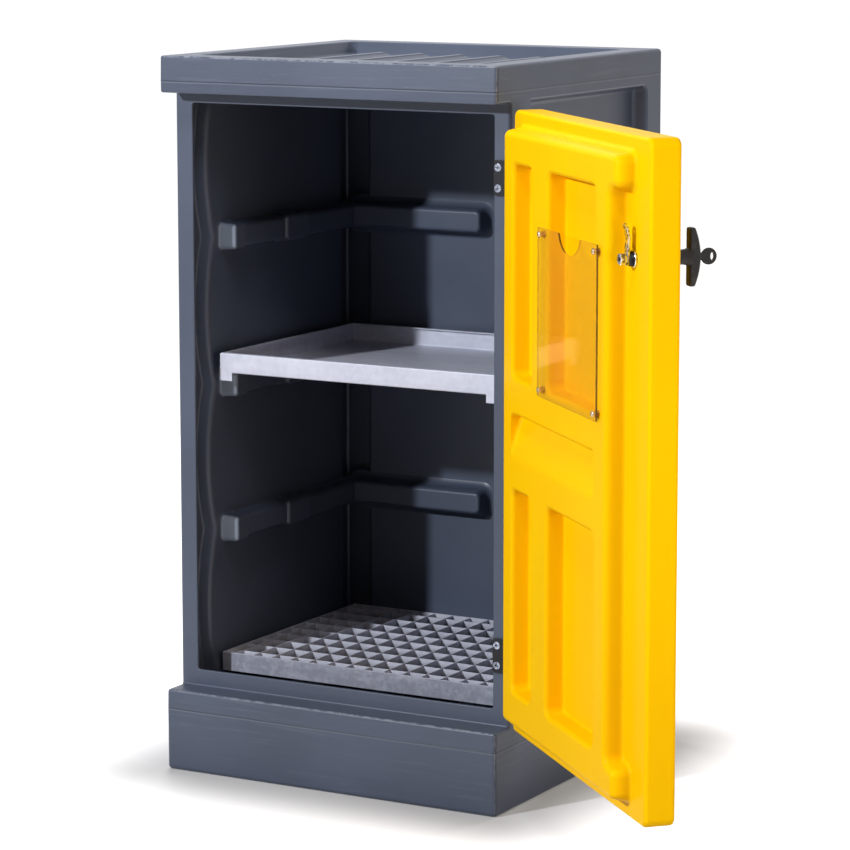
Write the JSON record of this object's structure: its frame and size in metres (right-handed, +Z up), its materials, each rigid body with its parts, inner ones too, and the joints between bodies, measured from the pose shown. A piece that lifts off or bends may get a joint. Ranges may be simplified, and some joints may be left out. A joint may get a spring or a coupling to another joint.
{
  "type": "plastic storage cabinet",
  "caption": "Free-standing moulded plastic cabinet with a hinged, lockable door, a shelf tray and a lift-out grating over a spill sump.",
  "frame": {"origin": "centre of the base underside, on the floor", "axes": "+Z up, -Y out of the doorway, +X towards the hinge side"},
  "size_m": [1.0405, 0.9134, 1.11],
  "materials": {
    "slate_plastic": "moulded slate grey polyethylene, soft satin",
    "yellow_plastic": "moulded yellow polyethylene, soft satin",
    "galvanised_steel": "galvanised sheet, dull",
    "black_steel": "black coated",
    "black_plastic": "fine grained black",
    "chrome": "bright plated",
    "clear_acrylic": "clear, polished"
  },
  "bodies": {
    "cabinet": {"cabinet_body": "slate_plastic", "upper_hinge_body_leaf": "black_steel", "lower_hinge_body_leaf": "black_steel", "upper_hinge_pin": "black_steel", "lower_hinge_pin": "black_steel", "upper_jamb_screw_top": "chrome", "upper_jamb_screw_bottom": "chrome", "lower_jamb_screw_top": "chrome", "lower_jamb_screw_bottom": "chrome"},
    "door": {"door_panel": "yellow_plastic", "upper_hinge_door_leaf": "black_steel", "lower_hinge_door_leaf": "black_steel", "upper_door_screw_top": "chrome", "upper_door_screw_bottom": "chrome", "lower_door_screw_top": "chrome", "lower_door_screw_bottom": "chrome", "document_pocket": "clear_acrylic", "pocket_spacer_hinge_side_bottom": "clear_acrylic", "pocket_spacer_hinge_side_top": "clear_acrylic", "pocket_spacer_latch_side_bottom": "clear_acrylic", "pocket_spacer_latch_side_top": "clear_acrylic", "pocket_screw_hinge_side_bottom": "chrome", "pocket_screw_hinge_side_top": "chrome", "pocket_screw_latch_side_bottom": "chrome", "pocket_screw_latch_side_top": "chrome", "lock_barrel": "black_plastic", "lock_nut": "chrome"},
    "handle": {"t_handle": "black_plastic", "cam_lever": "chrome", "cam_nut": "chrome"},
    "lock": {"lock_plug": "chrome"},
    "shelf": {"shelf_tray": "galvanised_steel"},
    "grating": {"sump_grating": "galvanised_steel"},
    "key": {"key": "black_plastic"}
  },
  "joints": [
    {"name": "door_hinge", "type": "hinge", "parent": "cabinet", "child": "door", "pos_m": [0.2985, -0.24, 0], "axis": [0, 0, 1], "range_deg": [-136.33, 43.67]},
    {"name": "handle_turn", "type": "hinge", "parent": "door", "child": "handle", "pos_m": [0.70022, -0.57095, 0.8866], "axis": [0.6905, 0.7233, 0], "range_deg": [0, 90]},
    {"name": "key_turn", "type": "hinge", "parent": "handle", "child": "lock", "pos_m": [0.70022, -0.57095, 0.8866], "axis": [0.6905, 0.7233, 0], "range_deg": [0, 90]},
    {"name": "key_pull", "type": "slide", "parent": "lock", "child": "key", "axis": [0.6905, 0.7233, 0], "range_m": [0, 0.03]},
    {"name": "shelf_slide", "type": "slide", "parent": "cabinet", "child": "shelf", "axis": [0, -1, 0], "range_m": [0, 0.45]},
    {"name": "grating_lift", "type": "slide", "parent": "cabinet", "child": "grating", "axis": [0, 0, 1], "range_m": [0, 0.16]}
  ]
}
